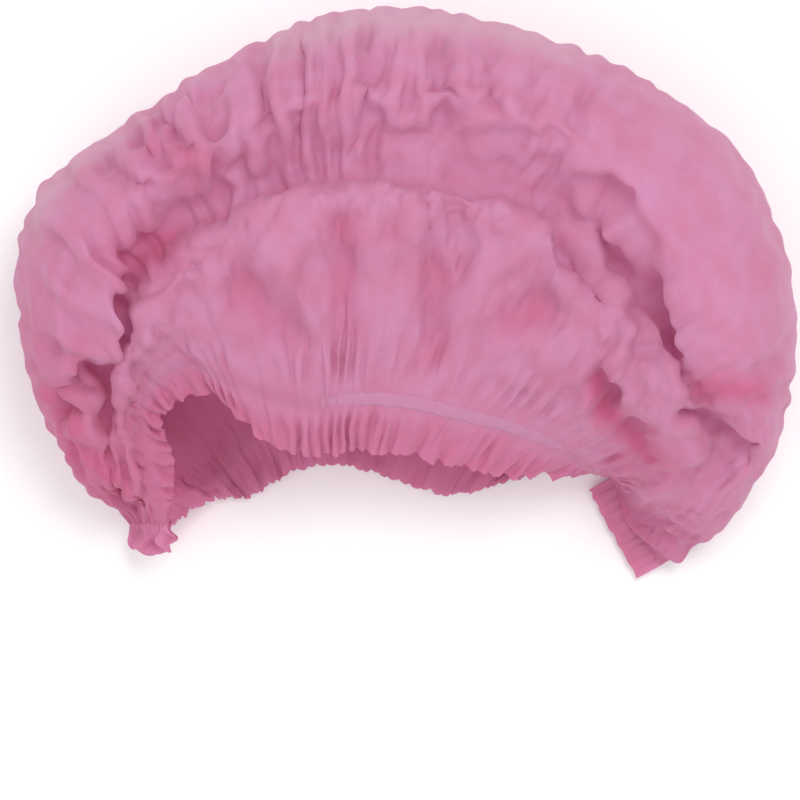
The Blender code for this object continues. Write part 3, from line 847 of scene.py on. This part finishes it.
def cloth_tints(points, u, v):
    """How deep the cloth is, from its layers and as painted shade, and how sheer and pale, with painted
    sheen, at every mesh point, as a colour.
    """
    colours = np.zeros(v.shape + (4,))
    across = np.interp(v, [row.place for row in DEPTHS_ACROSS], [row.deep for row in DEPTHS_ACROSS])
    along = np.interp(u, [row.place for row in DEPTHS_ALONG], [row.deep for row in DEPTHS_ALONG])
    colours[..., 0] = np.maximum(across, along)
    upper = np.clip((TINT_STOP - v) / TINT_FADE, 0.0, 1.0) ** 2
    for tint in TINTS:
        near = near_line(points, tint.points, tint.reach) * upper
        colours[..., 0] = np.maximum(colours[..., 0], tint.deep * near)
        colours[..., 1] = np.maximum(colours[..., 1], tint.sheer * near)
    colours[..., 3] = 1.0
    return colours


def grid_object(name, points, normals, places, colours, material, closed=False):
    """A smooth mesh of a grid of points, with its flat lengths as texture places."""
    columns, rows = points.shape[:2]
    index = np.arange(columns * rows).reshape(columns, rows)
    if closed:
        index = np.concatenate([index, index[:, :1]], axis=1)
    corners = index[:-1, :-1], index[1:, :-1], index[1:, 1:], index[:-1, 1:]
    faces = np.stack(corners, axis=-1).reshape(-1, 4)
    mesh = bpy.data.meshes.new(name)
    mesh.from_pydata(points.reshape(-1, 3).tolist(), [], faces.tolist())
    layer = mesh.uv_layers.new(name="cloth")
    layer.data.foreach_set("uv", places.reshape(-1, 2)[faces.reshape(-1)].reshape(-1))
    tint = mesh.color_attributes.new("tint", "FLOAT_COLOR", "POINT")
    tint.data.foreach_set("color", colours.reshape(-1).tolist())
    mesh.shade_smooth()
    if normals is not None:
        mesh.normals_split_custom_set_from_vertices(normals.reshape(-1, 3).tolist())
    mesh.materials.append(material)
    made = bpy.data.objects.new(name, mesh)
    bpy.context.scene.collection.objects.link(made)
    return made


def mix_colour(tree, factor, first, second):
    """A colour mix from first to second, each a colour or a socket, by a factor socket."""
    mix = tree.nodes.new("ShaderNodeMix")
    mix.data_type = "RGBA"
    tree.links.new(factor, mix.inputs["Factor"])
    for name, value in (("A", first), ("B", second)):
        if isinstance(value, tuple):
            mix.inputs[name].default_value = value
        else:
            tree.links.new(value, mix.inputs[name])
    return mix.outputs["Result"]


def nonwoven(name, light, deep, see_through):
    """Thin spunbonded cloth: uneven fibres, a grid of small bond dots, light coming through, and the
    tint's deeper layers with painted shade and its sheer places with painted sheen.
    """
    material = bpy.data.materials.new(name)
    material.use_nodes = True
    tree = material.node_tree
    nodes, links = tree.nodes, tree.links
    shader = nodes["Principled BSDF"]
    output = nodes["Material Output"]
    place = nodes.new("ShaderNodeUVMap")
    place.uv_map = "cloth"
    tint = nodes.new("ShaderNodeAttribute")
    tint.attribute_name = "tint"
    amounts = nodes.new("ShaderNodeSeparateColor")
    links.new(tint.outputs["Color"], amounts.inputs["Color"])

    fibres = nodes.new("ShaderNodeTexNoise")
    fibres.inputs["Scale"].default_value = FIBRE_SCALE
    fibres.inputs["Detail"].default_value = 4.0
    fibres.inputs["Roughness"].default_value = 0.7
    clouds = nodes.new("ShaderNodeTexNoise")
    clouds.inputs["Scale"].default_value = CLOUD_SCALE
    clouds.inputs["Detail"].default_value = 3.0
    turned = nodes.new("ShaderNodeMapping")
    turned.inputs["Rotation"].default_value = (0.0, 0.0, math.radians(DOT_TURN_DEG))
    dots = nodes.new("ShaderNodeTexVoronoi")
    dots.feature = "F1"
    dots.inputs["Scale"].default_value = DOT_SCALE
    dots.inputs["Randomness"].default_value = 0.0
    dot_edge = nodes.new("ShaderNodeMapRange")
    dot_edge.inputs["From Min"].default_value = DOT_SPREAD[0]
    dot_edge.inputs["From Max"].default_value = DOT_SPREAD[1]
    for texture in (fibres, clouds, turned):
        links.new(place.outputs["UV"], texture.inputs["Vector"])
    links.new(turned.outputs["Vector"], dots.inputs["Vector"])
    links.new(dots.outputs["Distance"], dot_edge.inputs["Value"])

    spread = nodes.new("ShaderNodeMapRange")
    spread.inputs["From Min"].default_value = CLOUD_SPREAD[0]
    spread.inputs["From Max"].default_value = CLOUD_SPREAD[1]
    links.new(clouds.outputs["Fac"], spread.inputs["Value"])
    patches = mix_colour(tree, spread.outputs["Result"], deep, light)
    # On the crown, red deepens the colour where layers stack and paints shade along creases, among the
    # gathers and under the front rim; green pales it where the cloth is sheer and paints sheen and light
    # through the cloth on the outline's crests
    layered = mix_colour(tree, amounts.outputs["Red"], patches, LAYERED_AND_SHADED_PINK)
    colour = mix_colour(tree, amounts.outputs["Green"], layered, SHEER_AND_SHEEN_PINK)
    links.new(colour, shader.inputs["Base Color"])

    relief = nodes.new("ShaderNodeMath")
    relief.operation = "MULTIPLY_ADD"
    relief.inputs[1].default_value = FIBRE_SHARE
    links.new(fibres.outputs["Fac"], relief.inputs[0])
    links.new(dot_edge.outputs["Result"], relief.inputs[2])
    bump = nodes.new("ShaderNodeBump")
    bump.inputs["Strength"].default_value = BUMP_STRENGTH
    bump.inputs["Distance"].default_value = BUMP_DEPTH
    links.new(relief.outputs["Value"], bump.inputs["Height"])
    links.new(bump.outputs["Normal"], shader.inputs["Normal"])

    shader.inputs["Roughness"].default_value = CLOTH_ROUGHNESS
    shader.inputs["Specular IOR Level"].default_value = CLOTH_SPECULAR
    shader.inputs["Sheen Weight"].default_value = SHEEN
    shader.inputs["Sheen Roughness"].default_value = SHEEN_ROUGHNESS
    shader.inputs["Sheen Tint"].default_value = SHEEN_PINK

    glow = nodes.new("ShaderNodeBsdfTranslucent")
    links.new(colour, glow.inputs["Color"])
    lit = nodes.new("ShaderNodeMixShader")
    lit.inputs["Fac"].default_value = GLOW_SHARE
    links.new(shader.outputs["BSDF"], lit.inputs[1])
    links.new(glow.outputs["BSDF"], lit.inputs[2])
    clear = nodes.new("ShaderNodeBsdfTransparent")
    clearness = nodes.new("ShaderNodeMapRange")
    clearness.inputs["To Min"].default_value = see_through
    clearness.inputs["To Max"].default_value = SHEER_SEE_THROUGH
    links.new(amounts.outputs["Green"], clearness.inputs["Value"])
    thin = nodes.new("ShaderNodeMixShader")
    links.new(clearness.outputs["Result"], thin.inputs["Fac"])
    links.new(lit.outputs["Shader"], thin.inputs[1])
    links.new(clear.outputs["BSDF"], thin.inputs[2])
    links.new(thin.outputs["Shader"], output.inputs["Surface"])
    return material


def make_camera():
    """Straight above, with the photograph's upper side towards +Y."""
    data = bpy.data.cameras.new("camera")
    camera = bpy.data.objects.new("camera", data)
    bpy.context.scene.collection.objects.link(camera)
    view_width = FRAME_PIXELS * METRES_PER_PIXEL
    down = (MIDDLE_ROW - FRAME_PIXELS / 2) * METRES_PER_PIXEL
    camera.location = (SHIFT[0], SHIFT[1] + down, CAMERA_HEIGHT)
    data.sensor_width = SENSOR_WIDTH
    data.sensor_fit = "HORIZONTAL"
    data.lens = SENSOR_WIDTH * (CAMERA_HEIGHT - OUTLINE_HEIGHT) / view_width
    bpy.context.scene.camera = camera


def make_light(row):
    data = bpy.data.lights.new(row.name, "AREA")
    data.shape = "DISK"
    data.size = row.size
    data.energy = row.power
    data.color = row.colour
    light = bpy.data.objects.new(row.name, data)
    light.location = row.place
    light.rotation_euler = (-Vector(row.place)).to_track_quat("-Z", "Y").to_euler()
    bpy.context.scene.collection.objects.link(light)


def make_floor():
    mesh = bpy.data.meshes.new("floor")
    half = FLOOR_HALF
    corners = [(-half, -half, 0), (half, -half, 0), (half, half, 0), (-half, half, 0)]
    mesh.from_pydata(corners, [], [(0, 1, 2, 3)])
    material = bpy.data.materials.new("floor")
    material.use_nodes = True
    shader = material.node_tree.nodes["Principled BSDF"]
    shader.inputs["Base Color"].default_value = FLOOR_WHITE
    shader.inputs["Roughness"].default_value = FLOOR_ROUGHNESS
    mesh.materials.append(material)
    floor = bpy.data.objects.new("floor", mesh)
    bpy.context.scene.collection.objects.link(floor)


def make_world():
    world = bpy.data.worlds.new("world")
    world.use_nodes = True
    background = world.node_tree.nodes["Background"]
    background.inputs["Color"].default_value = WORLD_WHITE
    background.inputs["Strength"].default_value = WORLD_STRENGTH
    bpy.context.scene.world = world
    bpy.context.scene.view_settings.view_transform = "Standard"


def plain_tints(grid):
    """Colours that neither deepen nor thin the cloth, for a grid of points."""
    colours = np.zeros(grid.shape[:2] + (4,))
    colours[..., 3] = 1.0
    return colours


def add_piece(piece, node):
    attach(piece, "root")
    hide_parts(node)


def smoothed_line(strip, reach):
    """A strip of points averaged over its neighbours along its length."""
    window = np.hanning(2 * reach + 1)
    window /= window.sum()
    padded = np.pad(strip, ((reach, reach), (0, 0), (0, 0)), mode="edge")
    return sum(weight * padded[i : i + len(strip)] for i, weight in enumerate(window))


def make_elastic(name, points, u, v, rear, material):
    """A flat elastic that lies taut along the gathers of a band, following its curve."""
    first = ELASTIC_SET / BAND_WIDTH
    last = (ELASTIC_SET + ELASTIC_WIDTH) / BAND_WIDTH
    rows = np.linspace(first, last, ELASTIC_ROWS)
    if rear:
        rows = V_REAR_RIM - rows[::-1]
    line = v[0]
    where = np.interp(rows, line, np.arange(len(line)))
    low = np.floor(where).astype(int)
    share = (where - low)[None, :, None]
    strip = points[:, low] * (1 - share) + points[:, low + 1] * share
    strip = smoothed_line(strip, int(round(ELASTIC_SMOOTHING * COLUMNS / (LAST_SECTION * FINE_FOLDS))))
    stop = ELASTIC_STOP / LAST_SECTION
    keep = slice(int(stop * COLUMNS), int((1 - stop) * COLUMNS) + 1)
    strip = strip[keep]
    normal = grid_normals(strip)
    profile = np.sqrt(np.clip(1 - np.linspace(-1, 1, ELASTIC_ROWS) ** 2, 0.0, 1.0))[None, :, None]
    ripple = ELASTIC_RIPPLE * np.cos(np.arange(len(strip)) * RIPPLE_TURN)[:, None, None]
    sections = u[keep, :1, None]
    rise = np.interp(sections, [row.section for row in RISES], [row.rise for row in RISES])
    rise = np.full(sections.shape, REAR_RISE) if rear else rise
    top = strip + normal * (rise + ELASTIC_SWELL * profile + ripple)
    under = (strip + normal * (rise - ELASTIC_BACK))[:, ::-1]
    ring = above_floor(np.concatenate([top, under], axis=1))
    along = np.linspace(0.0, ELASTIC_LENGTH, ring.shape[0])
    around = np.linspace(0.0, 2 * ELASTIC_WIDTH, ring.shape[1])
    places = np.stack(np.meshgrid(along, around, indexing="ij"), axis=-1)
    piece = grid_object(name + "_strip", ring, None, places, plain_tints(ring), material, closed=True)
    add_piece(piece, name)
    return piece

def make_seal(seal, material):
    """A pressed end of several gathered layers, with two lines of weld marks on each face."""
    weld, faces, out = seal_axes(seal)
    columns = np.linspace(0.0, 1.0, SEAL_COLUMNS)
    turns = np.linspace(0.0, 1.0, SEAL_POINTS, endpoint=False)
    along, around = np.meshgrid(columns, turns, indexing="ij")
    angle = 2 * math.pi * around
    wave = np.cos(angle)
    depth = 0.5 * (1 - np.sign(wave) * np.abs(wave) ** SEAL_EDGE_POWER)
    thick = np.sign(np.sin(angle)) * np.abs(np.sin(angle)) ** SEAL_FACE_POWER
    noise_u, level = along * LAST_SECTION, np.zeros(along.shape)
    edge = 1 - depth
    ragged = RAGGED_EDGE * smooth_noise(noise_u, level, *RAGGED_SWELLS) * edge
    ends = np.sin(math.pi * np.clip(along, 0.0, 1.0)) ** SEAL_END_POWER
    pleat = along * PLEATS + PLEAT_DRIFT * smooth_noise(noise_u, level, *PLEAT_SWELLS)
    pleats = PLEAT_HEIGHT * np.cos(2 * math.pi * pleat)
    marks = sum(np.exp(-(((depth - line) / WELD_LINE_REACH) ** 2)) for line in WELD_LINES)
    spots = (1 - WELD_MARK_SHARE) + WELD_MARK_SHARE * np.cos(2 * math.pi * along * WELD_MARKS)
    marks = WELD_DEPTH * marks * spots
    half = SEAL_THICKNESS / 2 * (SEAL_ALL + SEAL_MIDDLE * ends + SEAL_INNER * depth)
    half = half + pleats * depth - marks
    crease = seal.crumple * smooth_noise(noise_u, depth * V_REAR_RIM, *CRUMPLE_SWELLS)
    tip = seal.crumple * (1 - ends)
    inwards = SEAL_DEPTH * SEAL_OVERLAP * depth
    inwards = inwards + ragged * (RAGGED_SHARE + seal.crumple * RAGGED_BY_CRUMPLE) + tip * edge
    place_along = SEAL_LENGTH * along
    corner = seal_corner(seal) + SHIFT
    points = (
        corner
        - faces * inwards[..., None]
        + weld * place_along[..., None]
        + out * (thick * half + crease * edge)[..., None]
    )
    points = above_floor(points)
    places = np.stack([place_along, 2 * SEAL_DEPTH * around], axis=-1)
    colours = plain_tints(points)
    colours[..., 0] = seal.layered * edge
    piece = grid_object(seal.name + "_layers", points, None, places, colours, material, closed=True)
    add_piece(piece, seal.name)
    return piece


def make_cap():
    u, v = sheet_grid()
    points = settled_sheet(u, v)
    normals = grid_normals(points)
    colours = cloth_tints(points, u, v)
    flat_u = FLAT_LENGTH * u / LAST_SECTION
    flat_v = np.broadcast_to(FLAT_WIDTH * np.arange(u.shape[1]) / (u.shape[1] - 1), u.shape)
    places = np.stack([flat_u, flat_v], axis=-1)
    cloth = nonwoven("crown_nonwoven", CLOTH_LIGHT, CLOTH_DEEP, CLOTH_SEE_THROUGH)
    hem = nonwoven("hem_nonwoven", CLOTH_LIGHT, CLOTH_DEEP, CLOTH_SEE_THROUGH)
    elastic = nonwoven("elastic_nonwoven", ELASTIC_PALE, CLOTH_LIGHT, PRESSED_SEE_THROUGH)
    sealed = nonwoven("sealed_nonwoven", CLOTH_DEEP, SEALED_PINK, PRESSED_SEE_THROUGH)
    row_of = np.concatenate([[0], np.cumsum(ROWS)])
    pieces = {}
    for row in PIECES:
        rows = slice(row_of[STATIONS.index(row.first)], row_of[STATIONS.index(row.last)] + 1)
        material = hem if row.slot == "band_cloth" else cloth
        pieces[row.name] = grid_object(
            row.name, points[:, rows], normals[:, rows], places[:, rows], colours[:, rows], material
        )
        add_piece(pieces[row.name], row.node)
    trims = {
        "front_hem": [make_elastic("front_elastic", points, u, v, False, elastic)],
        "rear_hem": [make_elastic("rear_elastic", points, u, v, True, elastic)],
        "crown_roll": [make_seal(LEFT_SEAL, sealed), make_seal(RIGHT_SEAL, sealed)],
    }


make_camera()
for light_row in LIGHTS:
    make_light(light_row)
make_world()
make_floor()
make_cap()
